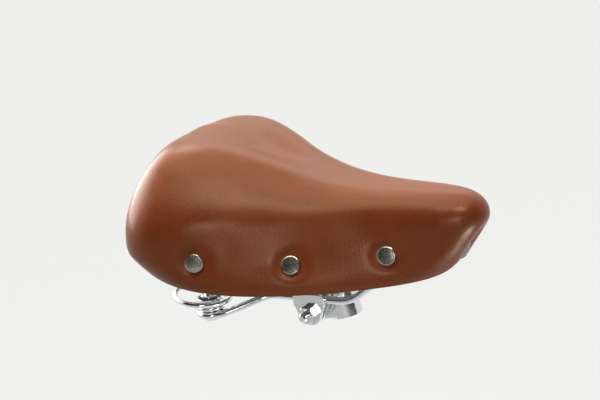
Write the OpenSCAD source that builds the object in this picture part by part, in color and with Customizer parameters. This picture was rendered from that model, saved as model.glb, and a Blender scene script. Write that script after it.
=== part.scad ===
// Sprung city bicycle saddle: padded cover on a moulded base, wire rails, coil springs and a post clamp.
// The nose points along +X and the rails are level. The origin is the middle of the clamp's bore.

/* [Seat] */
// Length from the back of the wings to the tip of the nose
seat_length = 276; // [264:1:288]
// Width across the wings
seat_width = 207; // [195:1:217]
// Height of the crown at the back of the valley between the wings, above the middle of the clamp's bore
crown_height = 144.5; // [140.5:1:147.5]
// Thickness of the leatherette cover
cover_thick = 1.8; // [1.4:0.1:2.2]
// Wall of the moulded base shell
base_thick = 2.4; // [2:0.1:3]

/* [Rivets] */
// Diameter of a rivet's cap
cap_dia = 14.5; // [10:0.5:15]
// Height of a rivet's cap
cap_height = 2.2; // [1.6:0.1:3]
// Diameter of a rivet's shank
shank_dia = 4.8; // [3:0.2:6]

/* [Rails and springs] */
// Diameter of the rail wire
rail_dia = 6.3; // [5.6:0.1:6.8]
// Distance between the rails' centre lines at the clamp
rail_gauge = 44; // [43:0.5:46]
// Diameter of the spring wire
spring_wire = 4.5; // [4:0.1:5]
// Mean radius of a spring's large turns
coil_radius = 22; // [20:0.5:22.5]
// Mean radius of a spring's small end turn
pigtail_radius = 9.2; // [9:0.1:10]
// Rise of a spring in one turn
coil_pitch = 16.5; // [15:0.5:18]

/* [Clamp] */
// Diameter of the collar's bore
bore_dia = 22.2; // [22:0.1:22.6]
// Height of the collar along its bore
collar_height = 24; // [22:1:28]
// Wall of the collar's band
collar_wall = 2; // [1.6:0.1:2.4]
// Angle that the bore leans back when the rails are level
bore_lean = 11; // [6:0.5:16]
// Diameter of the cross stud
stud_dia = 8; // [7:0.5:8]
// Length of the cross stud
stud_length = 80; // [74:1:84]
// Length of the clamp plates along the rails
plate_length = 28; // [24:1:30]

/* [Hidden] */
$fn = 48;
eps = 0.05;
fit = 0.05;

// Control rows run from the middle of the back, round one side, to the tip of the nose.
// Lengths are parts of the row's length, widths are parts of the half width, heights are millimetres.
// The smooth curves stay a little inside their control points.
back_x = -146;
edge_back_x = -140;
row_length = 1.006 * seat_length;
half_width = 0.4737 * seat_width;
shoulder_along = [0, 0.003, 0.01, 0.182, 0.346, 0.534, 0.728, 0.898, 0.983, 1.002];
shoulder_across = [0, 0.555, 1.025, 1.105, 0.78, 0.5, 0.337, 0.296, 0.204, 0];
shoulder_height = [69.5, 68.5, 67.5, 74.5, 81, 85, 84, 83, 82, 82];
edge_along = [0, 0, 0.018, 0.152, 0.34, 0.515, 0.698, 0.874, 0.92, 0.948];
edge_across = [0, 0.55, 0.94, 1.0, 0.878, 0.673, 0.43, 0.17, 0.03, 0];
edge_height = [61, 60, 57, 36.5, 29.3, 27.5, 28, 32, 50, 69];
spine_along = [0.152, 0.17, 0.195, 0.265, 0.378, 0.525, 0.687, 0.842, 0.9, 0.91];
crown_drop = [0, 0, 5, 15, 28.5, 39, 44, 45.5, 47, 48.5];
wing_swell = [0, 1, 7.5, 15, 11.5, 1, 0.5, 0, 0, 0];
roundness = 2.2;

// The base shell stands in from the cover by these amounts, and the padding fills the room between.
// The belly is the side's outward lean at its lower edge, as a part of its height.
base_edge_in = [3.2, 3.2, 3.2, 3.2, 3.2, 3.2, 3.2, 3.4, 4.2, 4.2];
base_shoulder_in = [8, 8, 8, 8, 7.5, 6.5, 5.5, 8, 12, 13.5];
base_shoulder_drop = [0, 0, 2, 8, 12, 12, 9, 6, 5, 5];
base_crown_drop = [38, 38, 38, 38, 34, 29, 23, 19, 18, 18];
shoulder_sag = 0.35;
belly = 0.4;
rim_show = 3;
keel_reach = 0.6;
rim_hide = 1.6;
drop_below = 6;
layer_gap = 0.25;

// Rings of points up the side and over the top
half_count = 26;
ring_count = 2 * half_count;
last_station = len(shoulder_along) - 1;
side_steps = [0, 0.2, 0.4, 0.6, 0.8, 1];
fine_top = [15, 30, 45, 58, 69, 78, 86];
coarse_top = [22, 44, 64, 80, 87];
outer_rings = concat(side_steps, [for (a = fine_top) 1 + a / 90]);
inner_rings = concat(side_steps, [for (a = coarse_top) 1 + a / 90]);
foam_rings = [for (a = inner_rings) if (a > 0) a];
cutter_rings = concat([-1], inner_rings);

// Rivets along the skirt: place on the control rows and height up the side
rivet_stations = [3.48, 4.83, 6.15];
rivet_heights = [0.56, 0.42, 0.46];
cap_sink = 0.8;
hole_room = 0.2;
cap_room = 0.3;
deep = 40;
cap_round = 0.9;
washer_dia = 12;
washer_thick = 1.2;
tail_length = 1.6;

// Cross stud, plates and rails
stud_back = 16.5;
stud_x = -stud_back * cos(bore_lean);
stud_z = -stud_back * sin(bore_lean);
cheek_in = bore_dia / 2 + 0.1;
cheek_out = bore_dia / 2 + collar_wall + 0.1;
cheek_reach = 10;
tooth_count = 24;
tooth_height = 0.5;
boss_out = cheek_out + 1.8;
plate_in = boss_out + 0.3;
rail_y = rail_gauge / 2;
groove_grip = 1.1;
plate_out = rail_y + 5;
rail_rise = 11;
rail_z = stud_z + rail_rise;
nut_flats = 13;
nut_thick = 6.5;
nut_chamfer = 0.6;
nut_corner = nut_flats / cos(30);

// Suspension pivot under the nose
pivot = [back_x + 0.88 * row_length, 0, 66];
bracket_half = 6.5;
bracket_wall = 2.3;
bracket_pad_z = 73;
flange_thick = 2.2;
flange_back = 17;
flange_front = 13;
flange_half = 8;
pad_margin = 2;
bracket_rivet_dia = 4.4;
bracket_rivet_x = [-12, 9];
bracket_rivet_depth = 2.2;

// Rail wire from the pivot pin back to the rear eye
nose_y = 13;
front_corner_x = 19;
rear_corner_x = -54;
eye_centre = [-97, 46, -1.5];
eye_radius = 9;
eye_turn = 300;
pin_gap = 1.5;
run_in = 9;
eye_away = [eye_centre.x - rear_corner_x, eye_centre.y - rail_y];
eye_heading = atan2(eye_away.y, eye_away.x) - asin(eye_radius / norm(eye_away));
eye_reach = sqrt(eye_away * eye_away - eye_radius * eye_radius);
rear_way = [cos(eye_heading), sin(eye_heading), 0];
eye_touch = [rear_corner_x, rail_y, eye_centre.z] + eye_reach * rear_way;
rail_path = [
    [pivot.x, pin_gap, pivot.z],
    [pivot.x, nose_y, pivot.z],
    [front_corner_x, rail_y, rail_z],
    [rear_corner_x, rail_y, rail_z],
    eye_touch - run_in * rear_way,
    eye_touch
];
rail_bends = [6, 32, 18, 20];
arc_overlap = 0.6;
arc_slim = 0.16;

// Coil spring, from its small end turn on the rail eye up to its seat under the base shell
seat_pad_z = 84;
seat_pad_radius = 27;
coil_back = 7;
coil_axis = [eye_centre.x - coil_back, eye_centre.y];
spring_foot = eye_centre.z + rail_dia / 2 + spring_wire / 2 + eps;
spring_top = seat_pad_z - spring_wire / 2 - eps;
spread_start = 0.8;
spread_turns = 0.6;
rise_start = 1.22;
rise_end = rise_start + (spring_top - spring_foot) / coil_pitch;
corner_turns = 0.1;
turn_start = 0.35;
turn_end = rise_end + 0.6;
front_turn = 1.51;
rings_per_turn = 16;
tube_sides = 6;

// Fastening at a spring's foot
bolt_head_radius = 8.5;
bolt_head_thick = 2.2;
cup_radius = 10.5;
cup_thick = 1.5;
cup_rim = 4;
cup_z = spring_foot + spring_wire / 2 + eps;
spring_nut_z = cup_z + cup_thick + eps;
bolt_end = 2.5;

// Clips at a spring's top turn: their places round the coil
flat_start = 360 * (rise_end - front_turn);
clip_angles = [flat_start + 35, flat_start + 203];
clip_width = 12;
clip_inner = 13;
clip_outer = 4.2;
clip_floor = 2;
clip_screw_in = 8;
clip_screw_dia = 5;
clip_head_dia = 9;
clip_head_thick = 2.8;
clip_screw_depth = 3.2;
clip_z = spring_top - spring_wire / 2 - clip_floor - eps;

leather = "#9c4f30";
foam_yellow = "#e6d9a8";
pale_grey = "#d9d9d4";
chrome = "#c9ccd0";
zinc = "#b4b8bb";
nickel = "#a8a296";

// Vectors and placing
function unit(v) = v / norm(v);
function sideways(v) = abs(v.z) > 0.99 ? [1, 0, 0] : unit(cross([0, 0, 1], v));
function placing(x, y, z, at) = [
    [x.x, y.x, z.x, at.x],
    [x.y, y.y, z.y, at.y],
    [x.z, y.z, z.z, at.z],
    [0, 0, 0, 1]
];

module along_way(at, way) {
    x = sideways(way);
    multmatrix(placing(x, cross(way, x), way, at)) children();
}

module across(y) {
    translate([0, y, 0]) rotate([-90, 0, 0]) children();
}

module right_side() {
    mirror([0, 1, 0]) children();
}

module both_sides() {
    children();
    right_side() children();
}

// A control row read anywhere as a smooth curve. Past its ends it is mirrored, and sign -1 turns it over.
function held(row, i, sign) =
    i < 0 ? sign * row[-i] : i > last_station ? sign * row[2 * last_station - i] : row[i];
function read(row, u, sign = 1) =
    let (i = min(floor(u), last_station - 1), f = u - i, g = 1 - f)
    (g * g * g * held(row, i - 1, sign) + (3 * f * f * f - 6 * f * f + 4) * held(row, i, sign)
        + (3 * g * g * g - 6 * g * g + 4) * held(row, i + 1, sign) + f * f * f * held(row, i + 2, sign)) / 6;

function shoulder_plan(u) =
    [back_x + row_length * read(shoulder_along, u), half_width * read(shoulder_across, u, -1)];
function edge_plan(u) =
    [edge_back_x + row_length * read(edge_along, u), half_width * read(edge_across, u, -1)];
function inward(a, b) = let (t = b - a) [t.y, -t.x] / norm(t);
function smooth(x) = let (t = max(0, min(1, x))) t * t * (3 - 2 * t);
function rim_offset(u) = rim_hide - (rim_hide + rim_show) * smooth(u - 7.2);

// Under the nose the two sides meet in a keel, and there a layer steps back instead of sideways.
function keel(u) = smooth(u - 7);
function edge_inward(u) =
    unit((1 - keel(u)) * inward(edge_plan(u - 0.01), edge_plan(u + 0.01)) + keel(u) * [-1, 0]);
function edge_step(u) = 1 + keel_reach * keel(u);

// A point of the left half of the seat. Station u runs from the back to the nose. Height v is 0 at the
// lower edge, 1 at the shoulder and 2 on the spine, and below 0 it goes straight down. Base 1 gives the
// base shell. Depth is the inset.
function skin(u, v, base, depth) =
    let (
        step = 0.01,
        shoulder_in = inward(shoulder_plan(u - step), shoulder_plan(u + step)),
        shoulder = shoulder_plan(u) + (base * read(base_shoulder_in, u) + depth) * shoulder_in,
        edge_in = edge_inward(u),
        edge = edge_plan(u) + (base * read(base_edge_in, u) + depth) * edge_step(u) * edge_in,
        shoulder_z = read(shoulder_height, u) - base * read(base_shoulder_drop, u) - shoulder_sag * depth,
        edge_z = read(edge_height, u) + base * rim_offset(u),
        low = [edge.x, edge.y, edge_z],
        high = [shoulder.x, shoulder.y, shoulder_z]
    )
    v < 0 ? low + [0, 0, drop_below * v]
        : v <= 1 ? side_point(low, high, edge_in, v) : top_point(u, high, base, depth, (v - 1) * 90);
function side_point(low, high, edge_in, v) =
    let (
        v2 = v * v,
        v3 = v2 * v,
        height = high.z - low.z,
        start = high - low - belly * height * [edge_in.x, edge_in.y, 0],
        finish = [0, 0, height]
    )
    (2 * v3 - 3 * v2 + 1) * low + (v3 - 2 * v2 + v) * start
        + (3 * v2 - 2 * v3) * high + (v3 - v2) * finish;
function top_point(u, high, base, depth, angle) =
    let (
        out = pow(cos(angle), 2 / roundness),
        up = pow(sin(angle), 2 / roundness),
        spine_x = back_x + row_length * read(spine_along, u),
        crown = crown_height - read(crown_drop, u) - base * read(base_crown_drop, u) - depth,
        swell = read(wing_swell, u) * pow(sin(180 * out), 2)
    )
    [spine_x + (high.x - spine_x) * out, high.y * out, high.z + (crown - high.z) * up + swell];

function ring(v, base, depth) = [
    for (k = [0 : ring_count - 1])
        let (
            near = k <= half_count ? k : ring_count - k,
            p = skin(near * last_station / half_count, v, base, depth)
        )
        [p.x, k <= half_count ? -p.y : p.y, p.z]
];
function rings(steps, base, depth) = [for (v = steps) each ring(v, base, depth)];

// Faces of a band between rings, and of the strip that closes the middle of a ring
function turn_over(faces, over) = over ? [for (f = faces) [f[2], f[1], f[0]]] : faces;
function band_faces(low, high) = [
    for (k = [0 : ring_count - 1])
        let (n = (k + 1) % ring_count)
        each [[low + k, high + k, high + n], [low + k, high + n, low + n]]
];
function side_faces(first, count) =
    [for (j = [0 : count - 2]) each band_faces(first + j * ring_count, first + (j + 1) * ring_count)];
function strip_faces(first) = [
    for (k = [0 : half_count - 1])
        let (
            a = first + k,
            b = a + 1,
            c = first + ring_count - k - 1,
            d = first + (ring_count - k) % ring_count
        )
        each [if (c != b) [c, b, a], if (a != d) [d, c, a]]
];

module closed_form(steps, base, depth) {
    count = len(steps);
    faces = concat(
        side_faces(0, count),
        strip_faces((count - 1) * ring_count),
        turn_over(strip_faces(0), true)
    );
    polyhedron(rings(steps, base, depth), faces, convexity = 10);
}

module shell_form(outer_steps, outer, inner_steps, inner) {
    outer_count = len(outer_steps);
    inner_count = len(inner_steps);
    start = outer_count * ring_count;
    faces = concat(
        side_faces(0, outer_count),
        strip_faces(start - ring_count),
        turn_over(side_faces(start, inner_count), true),
        turn_over(strip_faces(start + (inner_count - 1) * ring_count), true),
        turn_over(band_faces(0, start), true)
    );
    polyhedron(
        concat(rings(outer_steps, outer[0], outer[1]), rings(inner_steps, inner[0], inner[1])),
        faces, convexity = 10
    );
}

// Place, outward way and depth of the base shell's inner face at each rivet of the left side
function rivet_place(i) = skin(rivet_stations[i], rivet_heights[i], 0, 0);
function rivet_way(i) =
    let (u = rivet_stations[i], v = rivet_heights[i], step = 0.02)
    unit(cross(
        skin(u, v + step, 0, 0) - skin(u, v - step, 0, 0),
        skin(u + step, v, 0, 0) - skin(u - step, v, 0, 0)
    ));
function rivet_grip(i) =
    (rivet_place(i) - skin(rivet_stations[i], rivet_heights[i], 1, base_thick)) * rivet_way(i) - cap_room;

module at_rivets() {
    for (i = [0 : len(rivet_stations) - 1])
        along_way(rivet_place(i), rivet_way(i)) {
            $grip = rivet_grip(i);
            children();
        }
}

module rivet_holes(radius) {
    both_sides() at_rivets() cylinder(r = radius, h = deep, center = true);
}

module cover() {
    color(leather) difference() {
        shell_form(outer_rings, [0, 0], inner_rings, [0, cover_thick]);
        rivet_holes(shank_dia / 2 + hole_room);
        both_sides() at_rivets() translate([0, 0, -cap_sink]) cylinder(r = cap_dia / 2 + cap_room, h = deep);
    }
}

module foam_pad() {
    color(foam_yellow) difference() {
        shell_form(foam_rings, [0, cover_thick + layer_gap], foam_rings, [1, -layer_gap]);
        rivet_holes(shank_dia / 2 + 2 * hole_room);
    }
}

module base_pads() {
    both_sides() translate([coil_axis.x, coil_axis.y, seat_pad_z]) cylinder(r = seat_pad_radius, h = deep);
    translate([pivot.x - flange_back - pad_margin, -flange_half - pad_margin, bracket_pad_z])
        cube([flange_back + flange_front + 2 * pad_margin, 2 * (flange_half + pad_margin), deep]);
}

module base_shell() {
    color(pale_grey) difference() {
        closed_form(inner_rings, 1, 0);
        difference() {
            closed_form(cutter_rings, 1, base_thick);
            base_pads();
        }
        rivet_holes(shank_dia / 2 + hole_room);
        both_sides() at_rivets() translate([0, 0, -$grip - deep])
            cylinder(r = washer_dia / 2 + 2 * cap_room, h = deep);
        both_sides() at_clips() translate([-clip_screw_in, 0, seat_pad_z - 1])
            cylinder(d = clip_screw_dia + 2 * fit, h = 1 + clip_screw_depth + hole_room);
        for (x = bracket_rivet_x)
            translate([pivot.x + x, 0, bracket_pad_z - 1])
                cylinder(d = bracket_rivet_dia + 2 * fit, h = 1 + bracket_rivet_depth + hole_room);
    }
}

module side_rivets() {
    at_rivets() {
        translate([0, 0, -cap_sink + eps]) rotate_extrude() {
            square([cap_dia / 2, cap_height - cap_round]);
            square([cap_dia / 2 - cap_round, cap_height]);
            translate([cap_dia / 2 - cap_round, cap_height - cap_round]) intersection() {
                circle(r = cap_round);
                square(cap_round);
            }
        }
        translate([0, 0, -$grip - washer_thick - tail_length])
            cylinder(d = shank_dia, h = $grip + washer_thick + tail_length - cap_sink + 2 * eps);
        translate([0, 0, -$grip - washer_thick - tail_length])
            cylinder(d1 = shank_dia, d2 = 1.6 * shank_dia, h = tail_length - eps);
    }
}

module left_rivets() {
    color(nickel) side_rivets();
}

module right_rivets() {
    color(nickel) right_side() side_rivets();
}

module rivet_washers() {
    color(zinc) both_sides() at_rivets() translate([0, 0, -$grip - washer_thick]) difference() {
        cylinder(d = washer_dia, h = washer_thick - eps);
        cylinder(d = shank_dia + hole_room, h = deep, center = true);
    }
}

module nose_bracket() {
    eye_out = rail_dia / 2 + fit + bracket_wall;
    neck_half = 0.9 * eye_out;
    color(zinc) difference() {
        union() {
            translate(pivot) across(-bracket_half) cylinder(r = eye_out, h = 2 * bracket_half);
            translate([pivot.x - neck_half, -bracket_half, pivot.z])
                cube([2 * neck_half, 2 * bracket_half, bracket_pad_z - flange_thick - pivot.z]);
            translate([pivot.x - flange_back, -flange_half, bracket_pad_z - flange_thick])
                cube([flange_back + flange_front, 2 * flange_half, flange_thick - eps]);
        }
        translate(pivot) across(-deep / 2) cylinder(r = rail_dia / 2 + fit, h = deep);
        for (x = bracket_rivet_x)
            translate([pivot.x + x, 0, bracket_pad_z])
                cylinder(d = bracket_rivet_dia + 2 * fit, h = 4 * flange_thick, center = true);
    }
}

module bracket_rivets() {
    head_radius = 0.9 * bracket_rivet_dia;
    head_thick = 1.8;
    color(zinc) for (x = bracket_rivet_x)
        translate([pivot.x + x, 0, bracket_pad_z - flange_thick - eps]) {
            cylinder(d = bracket_rivet_dia, h = flange_thick + bracket_rivet_depth);
            mirror([0, 0, 1]) cylinder(r1 = head_radius, r2 = 0.6 * head_radius, h = head_thick);
        }
}

// Round wire along straight runs and true arcs. The runs reach into the arcs, which are a hair slimmer.
function bend_angle(path, i) = acos(unit(path[i] - path[i - 1]) * unit(path[i + 1] - path[i]));
function bend_trim(path, bends, i) =
    i < 1 || i > len(path) - 2 ? 0 : bends[i - 1] * tan(bend_angle(path, i) / 2);

module wire_run(path, bends, dia) {
    for (i = [0 : len(path) - 2]) {
        way = unit(path[i + 1] - path[i]);
        start = path[i] + (bend_trim(path, bends, i) - (i > 0 ? arc_overlap : 0)) * way;
        stop = path[i + 1] - (bend_trim(path, bends, i + 1) - arc_overlap) * way;
        along_way(start, way) cylinder(d = dia, h = norm(stop - start));
    }
    for (i = [1 : len(path) - 2]) {
        way = unit(path[i] - path[i - 1]);
        next = unit(path[i + 1] - path[i]);
        wire_arc(path[i] - bend_trim(path, bends, i) * way, way, unit(next - (next * way) * way),
            bends[i - 1], bend_angle(path, i), dia);
    }
}

module wire_arc(start, way, centre_way, radius, angle, dia) {
    multmatrix(placing(-centre_way, way, cross(-centre_way, way), start + radius * centre_way))
        rotate_extrude(angle = angle) translate([radius, 0]) circle(d = dia - arc_slim);
}

module side_rail() {
    wire_run(rail_path, rail_bends, rail_dia);
    wire_arc(eye_touch, rear_way, unit(eye_centre - eye_touch), eye_radius, eye_turn, rail_dia);
}

module left_rail() {
    color(chrome) side_rail();
}

module right_rail() {
    color(chrome) right_side() side_rail();
}

// Spring wire as one tube on a spiral that opens from the small end turn, climbs and lies flat at the top
function corner(x) =
    x < -corner_turns ? 0 : x > corner_turns ? x : pow(x + corner_turns, 2) / (4 * corner_turns);
function spring_point(turn) =
    let (
        opened = smooth((turn - spread_start) / spread_turns),
        radius = pigtail_radius + (coil_radius - pigtail_radius) * opened,
        angle = 360 * (turn - front_turn),
        height = spring_foot + coil_pitch * (corner(turn - rise_start) - corner(turn - rise_end))
    )
    [eye_centre.x - coil_back * opened + radius * cos(angle), eye_centre.y + radius * sin(angle), height];
spring_rings = ceil((turn_end - turn_start) * rings_per_turn);
wound_points = [
    for (i = [0 : spring_rings]) spring_point(turn_start + (turn_end - turn_start) * i / spring_rings)
];
first_way = unit(wound_points[0] - wound_points[1]);
last_way = unit(wound_points[spring_rings] - wound_points[spring_rings - 1]);
spring_points = concat(
    [wound_points[0] + spring_wire * first_way],
    wound_points,
    [wound_points[spring_rings] + spring_wire * last_way]
);
apart = ceil(rings_per_turn / 2);
spring_gap = min([
    for (i = [0 : len(spring_points) - 1])
        for (j = [i + apart : 1 : len(spring_points) - 1])
            norm(spring_points[i] - spring_points[j]) - spring_wire
]);
echo(spring_least_gap = spring_gap);

module side_spring() {
    last = len(spring_points) - 1;
    points = [
        for (i = [0 : last])
            let (
                way = unit(spring_points[min(i + 1, last)] - spring_points[max(i - 1, 0)]),
                side = sideways(way),
                up = cross(way, side)
            )
            for (s = [0 : tube_sides - 1])
                let (angle = 360 * s / tube_sides)
                spring_points[i] + spring_wire / 2 * (cos(angle) * side + sin(angle) * up)
    ];
    walls = [
        for (i = [0 : last - 1])
            for (s = [0 : tube_sides - 1])
                let (n = (s + 1) % tube_sides, a = i * tube_sides, b = a + tube_sides)
                each [[a + s, b + s, b + n], [a + s, b + n, a + n]]
    ];
    near_end = [for (s = [1 : tube_sides - 2]) [0, s, s + 1]];
    far_end = [for (s = [1 : tube_sides - 2]) let (a = last * tube_sides) [a, a + s + 1, a + s]];
    polyhedron(points, concat(walls, near_end, far_end), convexity = 10);
}

module left_coil_spring() {
    color(chrome) side_spring();
}

module right_coil_spring() {
    color(chrome) right_side() side_spring();
}

module hex_nut() {
    difference() {
        intersection() {
            cylinder(d = nut_corner, h = nut_thick, $fn = 6);
            rotate_extrude() polygon([
                [0, 0], [nut_flats / 2, 0], [nut_corner / 2, nut_chamfer],
                [nut_corner / 2, nut_thick - nut_chamfer], [nut_flats / 2, nut_thick], [0, nut_thick]
            ]);
        }
        cylinder(d = stud_dia + 2 * fit, h = deep, center = true);
    }
}

module side_spring_bolt() {
    head_top = eye_centre.z - rail_dia / 2 - eps;
    translate([eye_centre.x, eye_centre.y, head_top]) {
        cylinder(d = stud_dia, h = spring_nut_z + nut_thick + bolt_end - head_top);
        mirror([0, 0, 1]) cylinder(r1 = bolt_head_radius, r2 = 0.8 * bolt_head_radius, h = bolt_head_thick);
    }
}

module left_spring_bolt() {
    color(zinc) side_spring_bolt();
}

module right_spring_bolt() {
    color(zinc) right_side() side_spring_bolt();
}

module side_spring_cup() {
    translate([eye_centre.x, eye_centre.y, cup_z]) rotate_extrude() polygon([
        [stud_dia / 2 + fit, 0], [cup_radius - 1, 0], [cup_radius, 1], [cup_radius, cup_thick + cup_rim],
        [cup_radius - cup_thick, cup_thick + cup_rim], [cup_radius - cup_thick, cup_thick],
        [stud_dia / 2 + fit, cup_thick]
    ]);
}

module left_spring_cup() {
    color(chrome) side_spring_cup();
}

module right_spring_cup() {
    color(chrome) right_side() side_spring_cup();
}

module side_spring_nut() {
    translate([eye_centre.x, eye_centre.y, spring_nut_z]) hex_nut();
}

module left_spring_nut() {
    color(zinc) side_spring_nut();
}

module right_spring_nut() {
    color(zinc) right_side() side_spring_nut();
}

// Clips stand on the coil's mean circle, with X outwards
module at_clips() {
    for (angle = clip_angles)
        translate([coil_axis.x, coil_axis.y, 0]) rotate([0, 0, angle])
            translate([coil_radius, 0, 0]) children();
}

module side_spring_clips() {
    groove = spring_wire / 2 + 3 * hole_room;
    at_clips() difference() {
        translate([-clip_inner, -clip_width / 2, clip_z])
            cube([clip_inner + clip_outer, clip_width, seat_pad_z - eps - clip_z]);
        translate([-coil_radius, 0, spring_top]) rotate_extrude() {
            translate([coil_radius, 0]) circle(r = groove);
            translate([coil_radius - groove, 0]) square([2 * groove, deep]);
        }
        translate([-clip_screw_in, 0, clip_z])
            cylinder(d = clip_screw_dia + 2 * fit, h = deep, center = true);
    }
}

module left_spring_clips() {
    color(zinc) side_spring_clips();
}

module right_spring_clips() {
    color(zinc) right_side() side_spring_clips();
}

module spring_clip_screws() {
    color(zinc) both_sides() at_clips() translate([-clip_screw_in, 0, clip_z - eps]) {
        cylinder(d = clip_screw_dia, h = seat_pad_z + clip_screw_depth - clip_z);
        mirror([0, 0, 1]) cylinder(d1 = clip_head_dia, d2 = 0.75 * clip_head_dia, h = clip_head_thick);
    }
}

// Collar round the post, drawn upright with its cheeks at the back and then leaned
module collar_cheek() {
    translate([-stud_back, cheek_in, -cheek_reach])
        cube([stud_back - 1, cheek_out - cheek_in, 2 * cheek_reach]);
    translate([-stud_back, 0, 0]) {
        across(cheek_in) cylinder(r = cheek_reach, h = boss_out - tooth_height - cheek_in);
        for (i = [0 : tooth_count - 1])
            rotate([0, 360 * i / tooth_count, 0])
                translate([0.55 * cheek_reach, boss_out - tooth_height - eps, -0.5])
                    cube([0.42 * cheek_reach, tooth_height + eps, 1]);
    }
}

module clamp_collar() {
    slot_half = 0.76 * bore_dia / 2;
    color(zinc) rotate([0, -bore_lean, 0]) difference() {
        union() {
            difference() {
                cylinder(r = bore_dia / 2 + collar_wall, h = collar_height, center = true);
                translate([-deep, -slot_half, -collar_height])
                    cube([deep, 2 * slot_half, 2 * collar_height]);
            }
            both_sides() collar_cheek();
        }
        cylinder(d = bore_dia, h = 3 * collar_height, center = true);
        translate([-stud_back, 0, 0]) across(-deep) cylinder(d = stud_dia + 4 * fit, h = 2 * deep);
    }
}

// Outline of a clamp plate seen from its side, with the stud at the middle
module plate_outline() {
    half = plate_length / 2;
    polygon([
        [-half, rail_rise - 4.5], [-half, rail_rise + 2.5], [-half + 2, rail_rise + 4.5],
        [half - 2, rail_rise + 4.5], [half, rail_rise + 2.5], [half, rail_rise - 4.5],
        [0.97 * cheek_reach, -2], [-0.97 * cheek_reach, -2]
    ]);
}

module side_plate(from, to) {
    difference() {
        translate([stud_x, to, stud_z]) rotate([90, 0, 0]) {
            linear_extrude(to - from) plate_outline();
            cylinder(r = cheek_reach, h = to - from);
        }
        translate([stud_x, rail_y, rail_z]) rotate([0, 90, 0])
            cylinder(d = rail_dia + 2 * fit, h = 2 * plate_length, center = true);
        translate([stud_x, 0, stud_z]) across(0) cylinder(d = stud_dia + 2 * fit, h = deep);
    }
}

module left_inner_plate() {
    color(zinc) side_plate(plate_in, rail_y - groove_grip);
}

module right_inner_plate() {
    color(zinc) right_side() side_plate(plate_in, rail_y - groove_grip);
}

module left_outer_plate() {
    color(zinc) side_plate(rail_y + groove_grip, plate_out);
}

module right_outer_plate() {
    color(zinc) right_side() side_plate(rail_y + groove_grip, plate_out);
}

module clamp_stud() {
    tip = 1;
    color(zinc) translate([stud_x, 0, stud_z]) {
        across(-stud_length / 2 + tip) cylinder(d = stud_dia, h = stud_length - 2 * tip);
        both_sides() across(stud_length / 2 - tip) cylinder(d1 = stud_dia, d2 = stud_dia - 2 * tip, h = tip);
    }
}

module side_clamp_nut() {
    translate([stud_x, 0, stud_z]) across(plate_out + eps) hex_nut();
}

module left_clamp_nut() {
    color(zinc) side_clamp_nut();
}

module right_clamp_nut() {
    color(zinc) right_side() side_clamp_nut();
}

cover();
foam_pad();
base_shell();
right_rivets();
left_rivets();
rivet_washers();
nose_bracket();
bracket_rivets();
right_rail();
left_rail();
right_coil_spring();
left_coil_spring();
right_spring_bolt();
left_spring_bolt();
right_spring_cup();
left_spring_cup();
right_spring_nut();
left_spring_nut();
right_spring_clips();
left_spring_clips();
spring_clip_screws();
clamp_collar();
right_inner_plate();
left_inner_plate();
right_outer_plate();
left_outer_plate();
clamp_stud();
right_clamp_nut();
left_clamp_nut();
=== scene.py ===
import math
import bpy
import bmesh
from mathutils import Matrix, Vector, kdtree
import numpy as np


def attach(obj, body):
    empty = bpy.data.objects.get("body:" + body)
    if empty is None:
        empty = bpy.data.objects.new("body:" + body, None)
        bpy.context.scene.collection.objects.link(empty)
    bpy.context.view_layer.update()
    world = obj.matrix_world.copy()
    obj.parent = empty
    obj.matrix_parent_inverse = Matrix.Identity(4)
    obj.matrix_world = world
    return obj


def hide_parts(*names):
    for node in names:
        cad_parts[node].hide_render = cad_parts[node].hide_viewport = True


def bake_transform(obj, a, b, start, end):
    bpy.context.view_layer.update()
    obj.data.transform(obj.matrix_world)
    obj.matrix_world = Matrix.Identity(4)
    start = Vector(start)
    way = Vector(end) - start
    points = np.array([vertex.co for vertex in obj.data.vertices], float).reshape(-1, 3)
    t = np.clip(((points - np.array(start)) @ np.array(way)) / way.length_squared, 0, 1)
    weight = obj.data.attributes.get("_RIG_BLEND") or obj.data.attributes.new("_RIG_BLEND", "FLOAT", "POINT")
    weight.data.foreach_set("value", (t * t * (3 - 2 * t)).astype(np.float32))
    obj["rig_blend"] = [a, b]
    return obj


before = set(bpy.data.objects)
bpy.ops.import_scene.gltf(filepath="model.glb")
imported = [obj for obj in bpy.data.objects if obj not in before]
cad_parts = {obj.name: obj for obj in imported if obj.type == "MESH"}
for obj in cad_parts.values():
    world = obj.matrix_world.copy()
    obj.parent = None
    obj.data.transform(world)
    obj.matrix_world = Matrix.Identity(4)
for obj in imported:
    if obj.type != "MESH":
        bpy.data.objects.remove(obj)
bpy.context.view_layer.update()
mm = 0.001
print("frame loaded,", len(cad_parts), "solids")

# finishes

def newFinish(name):
    finish = bpy.data.materials.new(name)
    finish.use_nodes = True
    tree = finish.node_tree
    return finish, tree, tree.nodes["Principled BSDF"]

def addNode(tree, kind, sockets=None, **settings):
    node = tree.nodes.new(kind)
    for key, value in settings.items():
        setattr(node, key, value)
    for key, value in (sockets or {}).items():
        node.inputs[key].default_value = value
    return node

def noiseField(tree, place, scale, detail=3.0, rough=0.5):
    field = addNode(tree, "ShaderNodeTexNoise",
                    {"Scale": scale, "Detail": detail, "Roughness": rough})
    tree.links.new(place, field.inputs["Vector"])
    return field.outputs["Fac"]

def spread(tree, value, low, high, toLow, toHigh):
    remap = addNode(tree, "ShaderNodeMapRange",
                    {"From Min": low, "From Max": high, "To Min": toLow, "To Max": toHigh})
    tree.links.new(value, remap.inputs["Value"])
    return remap.outputs["Result"]

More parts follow.
